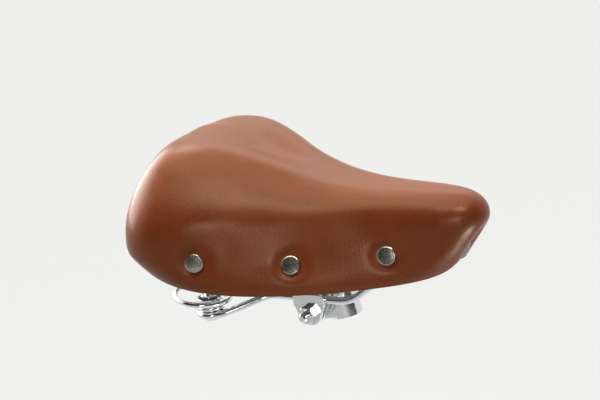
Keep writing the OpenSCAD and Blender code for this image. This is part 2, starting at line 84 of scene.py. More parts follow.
def mixColours(tree, share, first, second):
    mix = addNode(tree, "ShaderNodeMix", data_type="RGBA")
    sockets = (mix.inputs[0], mix.inputs[6], mix.inputs[7])
    for socket, value in zip(sockets, (share, first, second)):
        if hasattr(value, "is_output"):
            tree.links.new(value, socket)
        else:
            socket.default_value = value
    return mix.outputs[2]

def addBump(tree, height, strength, distance, under=None):
    bump = addNode(tree, "ShaderNodeBump", {"Strength": strength, "Distance": distance})
    tree.links.new(height, bump.inputs["Height"])
    if under:
        tree.links.new(under, bump.inputs["Normal"])
    return bump.outputs["Normal"]

def objectPlace(tree):
    return addNode(tree, "ShaderNodeTexCoord").outputs["Object"]

leather = {"deep": (0.276, 0.052, 0.0130, 1), "plain": (0.322, 0.064, 0.0165, 1),
           "worn": (0.43, 0.17, 0.085, 1), "pore": (0.17, 0.036, 0.013, 1),
           "cloudScale": 26, "grainPerMetre": 820, "pitScale": 2600,
           "poreFrom": 0.45, "poreTo": 0.85, "poreShare": 0.34,
           "pitBump": (0.08, 0.0002), "grainBump": (0.34, 0.00025),
           "roughness": (0.26, 0.33), "specular": 0.38, "sheen": (1.0, 0.86, 0.58, 1)}

def leatherFinish():
    finish, tree, shader = newFinish("tanLeatherette")
    place = objectPlace(tree)
    cloud = noiseField(tree, place, leather["cloudScale"])
    clouded = spread(tree, cloud, 0.3, 0.7, 0, 1)
    colour = mixColours(tree, clouded, leather["deep"], leather["plain"])
    rub = addNode(tree, "ShaderNodeAttribute", attribute_name="rubbed")
    colour = mixColours(tree, rub.outputs["Fac"], colour, leather["worn"])
    grain = addNode(tree, "ShaderNodeTexVoronoi", {"Scale": leather["grainPerMetre"]},
                    feature="SMOOTH_F1")
    tree.links.new(place, grain.inputs["Vector"])
    pits = spread(tree, noiseField(tree, place, leather["pitScale"], 2), 0.3, 0.7, 0, 1)
    pores = spread(tree, grain.outputs["Distance"], leather["poreFrom"], leather["poreTo"],
                   0, leather["poreShare"])
    colour = mixColours(tree, pores, colour, leather["pore"])
    tree.links.new(colour, shader.inputs["Base Color"])
    gloss = spread(tree, cloud, 0.3, 0.7, *leather["roughness"])
    tree.links.new(gloss, shader.inputs["Roughness"])
    fine = addBump(tree, pits, *leather["pitBump"])
    coarse = addBump(tree, grain.outputs["Distance"], *leather["grainBump"], fine)
    tree.links.new(coarse, shader.inputs["Normal"])
    shader.inputs["Specular IOR Level"].default_value = leather["specular"]
    shader.inputs["Specular Tint"].default_value = leather["sheen"]
    return finish

def platedFinish(name, clean, tarnishAndShade, roughness, patch, brushed=0.0, metal=1.0, relief=0.06):
    finish, tree, shader = newFinish(name)
    place = objectPlace(tree)
    cloud = noiseField(tree, place, patch, 5, 0.6)
    speck = noiseField(tree, place, patch * 14, 2)
    colour = mixColours(tree, spread(tree, cloud, 0.4, 0.72, 0, 1), clean, tarnishAndShade)
    tree.links.new(colour, shader.inputs["Base Color"])
    tree.links.new(spread(tree, speck, 0.35, 0.7, *roughness), shader.inputs["Roughness"])
    shader.inputs["Metallic"].default_value = metal
    wave = addBump(tree, cloud, relief, 0.0006)
    if brushed:
        wave = addBump(tree, speck, brushed, 0.0002, wave)
    tree.links.new(wave, shader.inputs["Normal"])
    return finish

def mouldedFinish(name, plain, shade, grainScale, roughness):
    finish, tree, shader = newFinish(name)
    place = objectPlace(tree)
    cloud = noiseField(tree, place, 24, 4)
    grain = noiseField(tree, place, grainScale, 3)
    colour = mixColours(tree, spread(tree, cloud, 0.35, 0.7, 0, 1), plain, shade)
    tree.links.new(colour, shader.inputs["Base Color"])
    tree.links.new(spread(tree, grain, 0.3, 0.7, *roughness), shader.inputs["Roughness"])
    tree.links.new(addBump(tree, grain, 0.18, 0.0003), shader.inputs["Normal"])
    return finish

tanLeather = leatherFinish()
chrome = platedFinish("chromePlate", (0.78, 0.79, 0.81, 1), (0.66, 0.67, 0.70, 1), (0.08, 0.16), 60)
zinc = platedFinish("zincPlate", (0.82, 0.84, 0.84, 1), (0.70, 0.72, 0.71, 1), (0.12, 0.22), 45,
                    metal=0.92, relief=0.015)
# both nickel colours sit well below real nickel: painted shade standing in for the darker reflections on the
# rivet caps
nickelWithPaintedShade = platedFinish("nickelCapPaintedShade", (0.46, 0.42, 0.35, 1), (0.26, 0.23, 0.19, 1), (0.18, 0.30), 240,
                      brushed=0.06)
palePlastic = mouldedFinish("palePlastic", (0.66, 0.66, 0.62, 1), (0.58, 0.58, 0.55, 1), 900, (0.42, 0.6))
creamFoam = mouldedFinish("creamFoam", (0.78, 0.68, 0.40, 1), (0.70, 0.60, 0.33, 1), 1500, (0.8, 0.95))
print("finishes made")

# pieces ride on their body and hide the solid that they stand for

def finishPiece(name, bm, finish, body, replaced, sharp=35):
    mesh = bpy.data.meshes.new(name)
    bm.to_mesh(mesh)
    bm.free()
    mesh.materials.append(finish)
    mesh.shade_smooth()
    mesh.set_sharp_from_angle(angle=math.radians(sharp))
    piece = bpy.data.objects.new(name, mesh)
    bpy.context.scene.collection.objects.link(piece)
    if body:
        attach(piece, body)
    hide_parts(*replaced)
    return piece

# the seat's surface, in millimetres: each row runs from the middle of the back,
# round one side, to the tip of the nose
seat = {
    "backX": -146, "edgeBackX": -140, "length": 277.656, "halfWidth": 98.056, "crown": 144.5,
    "round": 2.2, "belly": 0.4, "bellyLeast": 28, "sag": 0.35, "rimHide": 1.6, "rimShow": 3,
    "rimFrom": 7.2, "keelFrom": 7, "keelReach": 0.6, "weld": 0.25 * mm,
    "shoulderAlong": [0, 0.003, 0.01, 0.182, 0.346, 0.534, 0.728, 0.898, 0.986, 1.011],
    "shoulderAcross": [0, 0.555, 1.025, 1.105, 0.78, 0.5, 0.337, 0.296, 0.204, 0],
    "shoulderHeight": [69.5, 68.5, 67.5, 74.5, 81, 85, 84, 83, 82, 82],
    "coverRoll": [0, 0, 0, 0, 1, 5, 9, 9, 8, 3],
    "edgeAlong": [0, 0, 0.018, 0.152, 0.34, 0.515, 0.698, 0.874, 0.912, 0.932],
    "edgeAcross": [0, 0.55, 0.94, 1.0, 0.878, 0.673, 0.43, 0.165, 0.01, 0],
    "edgeHeight": [61, 60, 57, 36.5, 29.3, 27.5, 28, 32, 50, 69],
    "spineAlong": [0.152, 0.17, 0.195, 0.265, 0.378, 0.525, 0.687, 0.842, 0.9, 0.91],
    "crownDrop": [0, 0, 5, 15, 28.5, 39, 44, 45.5, 47, 48.5],
    "wingSwell": [0, 1, 7.5, 15, 11.5, 1, 0.5, 0, 0, 0],
    "baseEdgeIn": [3.2, 3.2, 3.2, 3.2, 3.2, 3.2, 3.2, 3.4, 4.2, 4.2],
    "baseShoulderIn": [8, 8, 8, 8, 7.5, 6.5, 5.5, 8, 12, 13.5],
    "baseShoulderDrop": [0, 0, 2, 8, 12, 12, 9, 6, 5, 5],
    "baseCrownDrop": [38, 38, 38, 38, 34, 29, 23, 19, 18, 18],
}
lastStation = len(seat["shoulderAlong"]) - 1

def held(row, i, sign):
    if i < 0:
        return sign * row[-i]
    return sign * row[2 * lastStation - i] if i > lastStation else row[i]

def readRow(name, u, sign=1):
    row = seat[name]
    i = min(math.floor(u), lastStation - 1)
    f = u - i
    g = 1 - f
    return (g ** 3 * held(row, i - 1, sign) + (3 * f ** 3 - 6 * f * f + 4) * held(row, i, sign)
            + (3 * g ** 3 - 6 * g * g + 4) * held(row, i + 1, sign) + f ** 3 * held(row, i + 2, sign)) / 6

def smooth(x):
    t = max(0.0, min(1.0, x))
    return t * t * (3 - 2 * t)

def planPoint(name, start, u):
    return Vector((start + seat["length"] * readRow(name + "Along", u),
                   seat["halfWidth"] * readRow(name + "Across", u, -1), 0))

def inward(name, u):
    t = planPoint(name, 0, u + 0.01) - planPoint(name, 0, u - 0.01)
    return Vector((t.y, -t.x, 0)).normalized()

# under the nose the sides meet in a keel, where a layer steps back instead of sideways
def keel(u):
    return smooth(u - seat["keelFrom"])

def edgeInward(u):
    return ((1 - keel(u)) * inward("edge", u) + keel(u) * Vector((-1, 0, 0))).normalized()

def sidePoint(low, high, edgeIn, v):
    height = high.z - low.z
    start = high - low - seat["belly"] * max(height, seat["bellyLeast"]) * edgeIn
    finish = Vector((0, 0, height))
    return ((2 * v ** 3 - 3 * v * v + 1) * low + (v ** 3 - 2 * v * v + v) * start
            + (3 * v * v - 2 * v ** 3) * high + (v ** 3 - v * v) * finish)

def skin(u, v, base=0, depth=0):
    high = planPoint("shoulder", seat["backX"], u)
    high += (base * readRow("baseShoulderIn", u) + depth) * inward("shoulder", u)
    high.z = readRow("shoulderHeight", u) - base * readRow("baseShoulderDrop", u) - seat["sag"] * depth
    high.z -= (1 - base) * readRow("coverRoll", u)
    if v <= 1:
        edgeIn = edgeInward(u)
        inset = (base * readRow("baseEdgeIn", u) + depth) * (1 + seat["keelReach"] * keel(u))
        low = planPoint("edge", seat["edgeBackX"], u) + inset * edgeIn
        rim = seat["rimHide"] - (seat["rimHide"] + seat["rimShow"]) * smooth(u - seat["rimFrom"])
        low.z = readRow("edgeHeight", u) + base * rim
        return sidePoint(low, high, edgeIn, v)
    angle = (v - 1) * math.pi / 2
    out = max(0.0, math.cos(angle)) ** (2 / seat["round"])
    up = math.sin(angle) ** (2 / seat["round"])
    spine = seat["backX"] + seat["length"] * readRow("spineAlong", u)
    crown = seat["crown"] - readRow("crownDrop", u) - base * readRow("baseCrownDrop", u) - depth
    swell = readRow("wingSwell", u) * math.sin(math.pi * out) ** 2
    return Vector((spine + (high.x - spine) * out, high.y * out,
                   high.z + (crown - high.z) * up + swell))

def seatSheet(bm, along, across, base, depth, lowest=0.0, sideShare=0.36):
    stations = bm.verts.layers.float.get("station") or bm.verts.layers.float.new("station")
    heights = bm.verts.layers.float.get("height") or bm.verts.layers.float.new("height")
    made = bmesh.ops.create_grid(bm, x_segments=along, y_segments=across, size=1)["verts"]
    for vert in made:
        u = (vert.co.x + 1) / 2 * lastStation
        s = 1 - abs(vert.co.y)
        if s < sideShare:
            v = lowest + (1 - lowest) * s / sideShare
        else:
            v = 1 + (s - sideShare) / (1 - sideShare)
        p = skin(u, min(v, 2), base, depth)
        side = -1 if vert.co.y < 0 else 1
        vert[stations] = u
        vert[heights] = v
        vert.co = Vector((p.x, side * p.y, p.z)) * mm
    bmesh.ops.remove_doubles(bm, verts=made, dist=seat["weld"])

def faceUp(bm):
    bmesh.ops.recalc_face_normals(bm, faces=bm.faces[:])
    top = max(bm.faces, key=lambda face: face.calc_center_median().z)
    if top.normal.z < 0:
        bmesh.ops.reverse_faces(bm, faces=bm.faces[:])

def openEdges(bm):
    return [edge for edge in bm.edges if edge.is_boundary]

# rivets along the skirt
rivet = {"stations": [3.48, 4.82, 6.145], "heights": [0.57, 0.45, 0.535], "cap": 7.25, "shank": 2.4,
         "baseThick": 2.4, "slack": 0.3, "washer": 1.2, "tail": 1.6, "step": 0.02}

def rivetPlaces():
    places = []
    for u, v in zip(rivet["stations"], rivet["heights"]):
        at = skin(u, v)
        step = rivet["step"]
        rise = skin(u, v + step) - skin(u, v - step)
        run = skin(u + step, v) - skin(u - step, v)
        way = rise.cross(run).normalized()
        grip = (at - skin(u, v, 1, rivet["baseThick"])).dot(way) - rivet["slack"]
        places.append((at, way, grip))
    return places

def bothSides(point, side):
    return Vector((point.x, side * point.y, point.z))

rivetSpots = [(bothSides(at, side) * mm, bothSides(way, side), grip)
              for side in (-1, 1) for at, way, grip in rivetPlaces()]

# cover: puffed by a cloth pass on a remeshed copy, whose movement the fine sheet takes over
cover = {"along": 120, "across": 96, "thick": 3.0 * mm, "hemWidth": 1.0 * mm, "quickPuff": 1.0 * mm,
         "coarseAlong": 72, "coarseAcross": 60, "voxel": 0.005, "hemPoints": 240,
         "hemHold": (4 * mm, 9 * mm), "rivetHold": (6 * mm, 7 * mm), "underHold": 60 * mm,
         "pressure": 4.0, "cap": 0.0022, "frames": 20, "puffFrom": 0.22, "evenSteps": 14,
         "dimpleDepth": 2.5 * mm, "dimpleFlat": 6.5 * mm, "dimpleWide": 15.5 * mm,
         "foldShare": 0.45, "foldHigh": 0.12, "foldFade": (7.4, 0.6),
         "rubShare": 0.30, "rubAt": 0.04, "rubWide": 0.05,
         "ease": [(-1, 0.6, 1.5, 12), (4.0, 0.5, 1.7, 40), (7.2, 0.4, 2.1, 12)],
         "crownSpot": (-96 * mm, 0), "crownFrom": 1.3,
         "crownEase": [(30, 5), (25, 5), (20, 6), (15, 6), (10, 6)]}

def puffField():
    bm = bmesh.new()
    seatSheet(bm, cover["coarseAlong"], cover["coarseAcross"], 0, 0)
    bmesh.ops.holes_fill(bm, edges=openEdges(bm), sides=0)
    faceUp(bm)
    mesh = bpy.data.meshes.new("puffMesh")
    bm.to_mesh(mesh)
    bm.free()
    body = bpy.data.objects.new("puffBody", mesh)
    bpy.context.scene.collection.objects.link(body)
    remesh = body.modifiers.new("even", "REMESH")
    remesh.mode = "VOXEL"
    remesh.voxel_size = cover["voxel"]
    even = bpy.data.meshes.new_from_object(body.evaluated_get(bpy.context.evaluated_depsgraph_get()))
    body.modifiers.clear()
    body.data = even
    rest = [v.co.copy() for v in even.vertices]
    hold = body.vertex_groups.new(name="hold")
    count = cover["hemPoints"]
    hem = kdtree.KDTree(count)
    for i in range(count):
        p = skin((i // 2) / (count // 2 - 1) * lastStation, 0)
        hem.insert(bothSides(p, -1 if i % 2 else 1) * mm, i)
    hem.balance()
    for v in even.vertices:
        nearHem = hem.find(v.co)[2]
        nearRivet = min((v.co - at).length for at, way, grip in rivetSpots)
        weight = max(1 - smooth((gap - start) / fade) for gap, (start, fade) in
                     ((nearHem, cover["hemHold"]), (nearRivet, cover["rivetHold"])))
        if v.normal.z < -0.6 and nearHem < cover["underHold"]:
            weight = 1.0
        hold.add([v.index], weight, "REPLACE")
    cloth = body.modifiers.new("cloth", "CLOTH")
    cloth.settings.quality = 6
    cloth.settings.mass = 0.3
    cloth.settings.tension_stiffness = 40
    cloth.settings.compression_stiffness = 40
    cloth.settings.shear_stiffness = 20
    cloth.settings.bending_stiffness = 2
    cloth.settings.use_pressure = True
    cloth.settings.uniform_pressure_force = cover["pressure"]
    cloth.settings.vertex_group_mass = "hold"
    cloth.settings.effector_weights.gravity = 0
    cloth.point_cache.frame_start = 1
    cloth.point_cache.frame_end = cover["frames"]
    for step in range(1, cover["frames"] + 1):
        bpy.context.scene.frame_set(step)
    grown = body.evaluated_get(bpy.context.evaluated_depsgraph_get()).data
    moves = [grown.vertices[i].co - rest[i] for i in range(len(rest))]
    bpy.data.objects.remove(body)
    bpy.context.scene.frame_set(1)
    furthest = round(max(move.length for move in moves) / mm, 2)
    print("cloth pass moved", furthest, "mm at most over", len(rest), "points")
    tree = kdtree.KDTree(len(rest))
    for i, p in enumerate(rest):
        tree.insert(p, i)
    tree.balance()
    return tree, moves

def puffAt(field, point):
    tree, moves = field
    near = tree.find_n(point, 8)
    weights = [1 / (gap + 0.5 * mm) ** 2 for spot, i, gap in near]
    move = sum((moves[i] * w for (spot, i, gap), w in zip(near, weights)), Vector()) / sum(weights)
    return move.normalized() * min(move.length, cover["cap"]) if move.length > 0 else move

# the bend between side and top is eased, and the puff is evened out over neighbouring points
def easeShoulder(bm):
    height = bm.verts.layers.float["height"]
    station = bm.verts.layers.float["station"]
    for first, low, high, steps in cover["ease"]:
        band = [vert for vert in bm.verts
                if vert[station] > first and low < vert[height] < high and not vert.is_boundary]
        for step in range(steps):
            bmesh.ops.smooth_vert(bm, verts=band, factor=0.5,
                                  use_axis_x=True, use_axis_y=True, use_axis_z=True)
    middle = Vector(cover["crownSpot"])
    for reach, steps in cover["crownEase"]:
        crown = [vert for vert in bm.verts
                 if vert[height] > cover["crownFrom"] and (vert.co.xy - middle).length < reach * mm]
        for step in range(steps):
            bmesh.ops.smooth_vert(bm, verts=crown, factor=0.5,
                                  use_axis_x=False, use_axis_y=False, use_axis_z=True)

def evened(bm, moves):
    bm.verts.index_update()
    around = [[edge.other_vert(vert).index for edge in vert.link_edges] for vert in bm.verts]
    for step in range(cover["evenSteps"]):
        moves = [(move + sum((moves[i] for i in near), Vector()) / len(near)) / 2
                 for move, near in zip(moves, around)]
    return moves

def coverPiece():
    bm = bmesh.new()
    seatSheet(bm, cover["along"], cover["across"], 0, 0)
    faceUp(bm)
    easeShoulder(bm)
    bm.normal_update()
    station = bm.verts.layers.float["station"]
    height = bm.verts.layers.float["height"]
    rubbed = bm.verts.layers.float.new("rubbed")
    hemFold = bm.verts.layers.deform.verify()
    field = puffField()
    puffs = evened(bm, [puffAt(field, vert.co) if field else vert.normal * cover["quickPuff"]
                        for vert in bm.verts])
    foldEnd, foldFade = cover["foldFade"]
    for vert, puff in zip(bm.verts, puffs):
        fade = smooth(vert[height] / cover["puffFrom"])
        ways = [((vert.co - at).length, way) for at, way, grip in rivetSpots]
        reach, way = min(ways, key=lambda pair: pair[0])
        press = 1 - smooth((reach - cover["dimpleFlat"]) / (cover["dimpleWide"] - cover["dimpleFlat"]))
        nearEdge = max(0.0, 1 - abs(vert[height] - cover["rubAt"]) / cover["rubWide"])
        vert[rubbed] = cover["rubShare"] * nearEdge
        folded = 1 - smooth(vert[height] / cover["foldHigh"])
        vert[hemFold][0] = folded * (1 - smooth((vert[station] - foldEnd) / foldFade))
        vert.co += puff * fade * (1 - press) - way * press * cover["dimpleDepth"]
    piece = finishPiece("saddleCover", bm, tanLeather, "seat", ["cover"], 180)
    piece.vertex_groups.new(name="hemFold")
    wall = piece.modifiers.new("wall", "SOLIDIFY")
    wall.thickness = cover["thick"]
    wall.offset = -1
    wall.vertex_group = "hemFold"
    wall.thickness_vertex_group = cover["foldShare"]
    hemRound = piece.modifiers.new("hemRound", "BEVEL")
    hemRound.width = cover["hemWidth"]
    hemRound.segments = 3
    hemRound.limit_method = "ANGLE"
    hemRound.angle_limit = math.radians(55)
    fine = piece.modifiers.new("fine", "SUBSURF")
    fine.levels = fine.render_levels = 1
    return piece

coverPiece()
print("cover made")

# base shell with its bosses, and the padding between it and the cover
baseShell = {"along": 108, "across": 64, "thick": 2.4, "springAt": (-104, 46), "springBoss": 27,
             "springSeat": 84, "bossTall": 6, "noseSeat": 73, "noseBox": (96.34, 34, 20), "padTall": 4}

def closedShell(outer, inner, along, across, lowest):
    bm = bmesh.new()
    seatSheet(bm, along, across, outer[0], outer[1], lowest)
    seatSheet(bm, along, across, inner[0], inner[1], lowest)
    bmesh.ops.bridge_loops(bm, edges=openEdges(bm))
    bmesh.ops.recalc_face_normals(bm, faces=bm.faces[:])
    return bm

# where the hems meet under the nose the rim closes the gap and shows as a narrow pale strip
keelStrip = {"start": 7.5, "end": 8.7, "rings": 36, "around": 16, "proud": 0.3, "behind": 1.6,
             "rise": (7.5, 0.35), "fall": (8.2, 0.45), "clear": 0.5, "leastHalf": 0.25,
             "bulge": 0.45, "mostBulge": 1.3, "sunk": 1.2}

def addKeelStrip(bm):
    rings = []
    riseAt, riseOver = keelStrip["rise"]
    fallAt, fallOver = keelStrip["fall"]
    for i in range(keelStrip["rings"] + 1):
        u = keelStrip["start"] + (keelStrip["end"] - keelStrip["start"]) * i / keelStrip["rings"]
        hem = skin(u, 0)
        along = skin(u + 0.02, 0) - skin(u - 0.02, 0)
        out = Vector((along.z, 0, -along.x)).normalized()
        show = smooth((u - riseAt) / riseOver) * (1 - smooth((u - fallAt) / fallOver))
        half = max(keelStrip["leastHalf"], hem.y - keelStrip["clear"])
        bulge = min(keelStrip["bulge"] * half, keelStrip["mostBulge"]) + keelStrip["proud"]
        front = bulge * show - keelStrip["sunk"] * (1 - show)
        ring = []
        for k in range(keelStrip["around"]):
            a = 2 * math.pi * k / keelStrip["around"]
            reach = front if math.sin(a) > 0 else keelStrip["behind"]
            spot = Vector((hem.x, half * math.cos(a), hem.z)) + out * (reach * math.sin(a))
            ring.append(bm.verts.new(spot * mm))
        rings.append(ring)
    for ring, after in zip(rings, rings[1:]):
        for k in range(len(ring)):
            j = (k + 1) % len(ring)
            bm.faces.new((ring[k], ring[j], after[j], after[k]))
    bm.faces.new(rings[0])
    bm.faces.new(rings[-1])

def basePiece():
    bm = closedShell((1, 0), (1, baseShell["thick"]), baseShell["along"], baseShell["across"], 0)
    addKeelStrip(bm)
    bmesh.ops.recalc_face_normals(bm, faces=bm.faces[:])
    springX, springY = baseShell["springAt"]
    bossTall, padTall = baseShell["bossTall"], baseShell["padTall"]
    for side in (-1, 1):
        middle = Vector((springX, springY * side, baseShell["springSeat"] + bossTall / 2))
        bmesh.ops.create_cone(bm, cap_ends=True, segments=64, radius1=baseShell["springBoss"] * mm,
                              radius2=baseShell["springBoss"] * mm, depth=bossTall * mm,
                              matrix=Matrix.Translation(middle * mm))
    x, length, width = baseShell["noseBox"]
    middle = Vector((x, 0, baseShell["noseSeat"] + padTall / 2))
    stretch = Matrix.Diagonal(Vector((length * mm, width * mm, padTall * mm, 1)))
    bmesh.ops.create_cube(bm, size=1, matrix=Matrix.Translation(middle * mm) @ stretch)
    return finishPiece("basePan", bm, palePlastic, "seat", ["base_shell"])

padding = {"along": 64, "across": 56, "underCover": 2.6, "intoBase": 0.25, "lowest": 0.2}

def foamPiece():
    bm = closedShell((0, padding["underCover"]), (1, -padding["intoBase"]), padding["along"],
                     padding["across"], padding["lowest"])
    piece = finishPiece("paddingFoam", bm, creamFoam, "seat", ["foam_pad"])
    return piece

basePiece()
foamPiece()
print("base and padding made")

# turned pieces: a profile of radius and height is spun about Z, then set in place

def spun(bm, profile, place, steps=48):
    verts = [bm.verts.new((r * mm, 0, z * mm)) for r, z in profile]
    edges = [bm.edges.new(pair) for pair in zip(verts, verts[1:])]
    bmesh.ops.spin(bm, geom=verts + edges, cent=(0, 0, 0), axis=(0, 0, 1), angle=2 * math.pi,
                   steps=steps, use_merge=True)
    turned = [v for v in bm.verts if not v.tag]
    bmesh.ops.remove_doubles(bm, verts=turned, dist=0.001 * mm)
    turned = [v for v in turned if v.is_valid]
    bmesh.ops.transform(bm, matrix=place, verts=turned)
    for v in turned:
        v.tag = True

def placing(at, way):
    return Matrix.Translation(at) @ way.to_track_quat("Z", "Y").to_matrix().to_4x4()

def rivetPiece(name, side):
    bm = bmesh.new()
    cap, shank = rivet["cap"], rivet["shank"]
    for at, way, grip in rivetSpots:
        if at.y * side < 0:
            continue
        end = -grip - rivet["washer"] - rivet["tail"]
        profile = [(0, 0.52), (2.5, 0.50), (4.6, 0.40), (5.5, 0.32), (5.9, 0.30), (6.2, 0.34),
                   (6.6, 0.22), (cap - 0.12, -0.1), (cap, -0.5), (cap, -2.7), (cap - 0.3, -3.0),
                   (shank, -3.0), (shank, end + 1.55), (1.6 * shank, end + 1.5),
                   (1.55 * shank, end + 0.9), (1.1 * shank, end + 0.15), (0.6 * shank, end),
                   (0, end + 0.3)]
        spun(bm, profile, placing(at, way))
    bmesh.ops.recalc_face_normals(bm, faces=bm.faces[:])
    return finishPiece(name, bm, nickelWithPaintedShade, "seat", [name.replace("RivetSet", "_rivets")])

rivetPiece("rightRivetSet", -1)
rivetPiece("leftRivetSet", 1)
print("rivets made")

# wire: rails and springs
wire = {"bevelSteps": 6, "weld": 0.01 * mm, "endAngle": 1.0, "endRound": 0.5 * mm, "endSegments": 3}

def wirePiece(name, points, radius, body, replaced):
    curve = bpy.data.curves.new(name + "Path", "CURVE")
    curve.dimensions = "3D"
    curve.bevel_depth = radius * mm
    curve.bevel_resolution = wire["bevelSteps"]
    curve.use_fill_caps = True
    spline = curve.splines.new("POLY")
    spline.points.add(len(points) - 1)
    for spot, p in zip(spline.points, points):
        spot.co = (p.x * mm, p.y * mm, p.z * mm, 1)
    path = bpy.data.objects.new(name + "Path", curve)
    bpy.context.scene.collection.objects.link(path)
    mesh = bpy.data.meshes.new_from_object(path.evaluated_get(bpy.context.evaluated_depsgraph_get()))
    bpy.data.objects.remove(path)
    bm = bmesh.new()
    bm.from_mesh(mesh)
    bpy.data.meshes.remove(mesh)
    bmesh.ops.remove_doubles(bm, verts=bm.verts[:], dist=wire["weld"])
    ends = [edge for edge in bm.edges
            if len(edge.link_faces) == 2 and edge.calc_face_angle(0) > wire["endAngle"]]
    bmesh.ops.bevel(bm, geom=ends, offset=wire["endRound"], offset_type="OFFSET",
                    segments=wire["endSegments"], profile=0.5, affect="EDGES", material=-1)
    bmesh.ops.recalc_face_normals(bm, faces=bm.faces[:])
    return finishPiece(name, bm, chrome, body, replaced, 60)

rail = {"radius": 3.15, "gauge": 22, "z": 7.8517, "pin": (98.337, 1.5, 66), "noseY": 13,
        "frontX": 19, "rearX": -54, "eye": (-97, 46, -1.5), "eyeRadius": 9, "eyeTurn": 300,
        "eyeSteps": 60, "runIn": 9, "bends": [6, 32, 18, 20]}

def bentPath(corners, bends, step=3.0):
    points = [corners[0]]
    for before, corner, after, radius in zip(corners, corners[1:], corners[2:], bends):
        way = (corner - before).normalized()
        leave = (after - corner).normalized()
        angle = way.angle(leave)
        trim = radius * math.tan(angle / 2)
        across = (leave - leave.dot(way) * way).normalized()
        start = corner - trim * way
        centre = start + radius * across
        count = max(6, math.ceil(radius * angle / step * 3))
        for i in range(count + 1):
            a = angle * i / count
            points.append(centre + radius * (math.sin(a) * way - math.cos(a) * across))
    points.append(corners[-1])
    dense = []
    for a, b in zip(points, points[1:]):
        count = max(1, round((b - a).length / step))
        dense += [a.lerp(b, i / count) for i in range(count)]
    return dense + [points[-1]]

def railPath():
    eye = Vector(rail["eye"])
    away = Vector((eye.x - rail["rearX"], eye.y - rail["gauge"]))
    heading = math.atan2(away.y, away.x) - math.asin(rail["eyeRadius"] / away.length)
    reach = math.sqrt(away.length_squared - rail["eyeRadius"] ** 2)
    way = Vector((math.cos(heading), math.sin(heading), 0))
    touch = Vector((rail["rearX"], rail["gauge"], eye.z)) + reach * way
    pin = Vector(rail["pin"])
    corners = [pin, Vector((pin.x, rail["noseY"], pin.z)),
               Vector((rail["frontX"], rail["gauge"], rail["z"])),
               Vector((rail["rearX"], rail["gauge"], rail["z"])),
               touch - rail["runIn"] * way, touch]
    points = bentPath(corners, rail["bends"])
    spoke = touch - eye
    turn = math.radians(rail["eyeTurn"])
    for i in range(1, rail["eyeSteps"] + 1):
        points.append(eye + Matrix.Rotation(turn * i / rail["eyeSteps"], 3, "Z") @ spoke)
    return points

for name, side in (("right", -1), ("left", 1)):
    path = [bothSides(p, side) for p in railPath()]
    wirePiece(name + "RailWire", path, rail["radius"], "rails", [name + "_rail"])
print("rails made")

coil = {"wire": 2.25, "large": 22, "small": 9.2, "pitch": 16.5, "back": 7, "foot": 3.95, "top": 81.7,
        "spreadStart": 0.8, "spreadTurns": 0.6, "riseStart": 1.22, "corner": 0.1, "start": 0.35,
        "flat": 0.6, "front": 1.51, "perTurn": 56}
coil["riseEnd"] = coil["riseStart"] + (coil["top"] - coil["foot"]) / coil["pitch"]

def eased(x):
    c = coil["corner"]
    return 0 if x < -c else x if x > c else (x + c) ** 2 / (4 * c)

def coilPoint(turn):
    opened = smooth((turn - coil["spreadStart"]) / coil["spreadTurns"])
    radius = coil["small"] + (coil["large"] - coil["small"]) * opened
    angle = 2 * math.pi * (turn - coil["front"])
    z = coil["foot"] + coil["pitch"] * (eased(turn - coil["riseStart"]) - eased(turn - coil["riseEnd"]))
    eye = rail["eye"]
    return Vector((eye[0] - coil["back"] * opened + radius * math.cos(angle),
                   eye[1] + radius * math.sin(angle), z))

def coilPath():
    end = coil["riseEnd"] + coil["flat"]
    count = math.ceil((end - coil["start"]) * coil["perTurn"])
    points = [coilPoint(coil["start"] + (end - coil["start"]) * i / count) for i in range(count + 1)]
    reach = 2 * coil["wire"]
    points.insert(0, points[0] + reach * (points[0] - points[1]).normalized())
    points.append(points[-1] + reach * (points[-1] - points[-2]).normalized())
    return points

for name, side in (("right", -1), ("left", 1)):
    path = [bothSides(p, side) for p in coilPath()]
    spring = wirePiece(name + "CoilSpring", path, coil["wire"], None, [name + "_coil_spring"])
    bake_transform(spring, "rails", "seat", start=(-0.1, 46 * mm * side, 6 * mm),
             end=(-0.1, 46 * mm * side, 79 * mm))
print("springs made")

# hardware: eased copies of the solids
easing = {"weld": 0.002 * mm, "flatBelow": 1.5, "cornerAbove": 28, "sharpAbove": 30}

def easedCopy(name, node, finish, body, width=0.3, segments=2):
    bm = bmesh.new()
    bm.from_mesh(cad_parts[node].data)
    bmesh.ops.remove_doubles(bm, verts=bm.verts[:], dist=easing["weld"])
    bmesh.ops.dissolve_limit(bm, angle_limit=math.radians(easing["flatBelow"]), verts=bm.verts[:],
                             edges=bm.edges[:])
    least = math.radians(easing["cornerAbove"])
    corners = [edge for edge in bm.edges
               if len(edge.link_faces) == 2 and edge.calc_face_angle(0) > least]
    bmesh.ops.bevel(bm, geom=corners, offset=width * mm, offset_type="OFFSET", segments=segments,
                    profile=0.5, affect="EDGES", clamp_overlap=True, material=-1)
    bmesh.ops.recalc_face_normals(bm, faces=bm.faces[:])
    piece = finishPiece(name, bm, finish, body, [node], easing["sharpAbove"])
    even = piece.modifiers.new("evenNormals", "WEIGHTED_NORMAL")
    even.keep_sharp = True
    return piece

stud = {"at": (-16.2, 0, -3.15), "radius": 4, "half": 40, "threadFrom": 18, "plainEnd": 1.4,
        "pitch": 1.25, "depth": 0.6, "steps": 40}

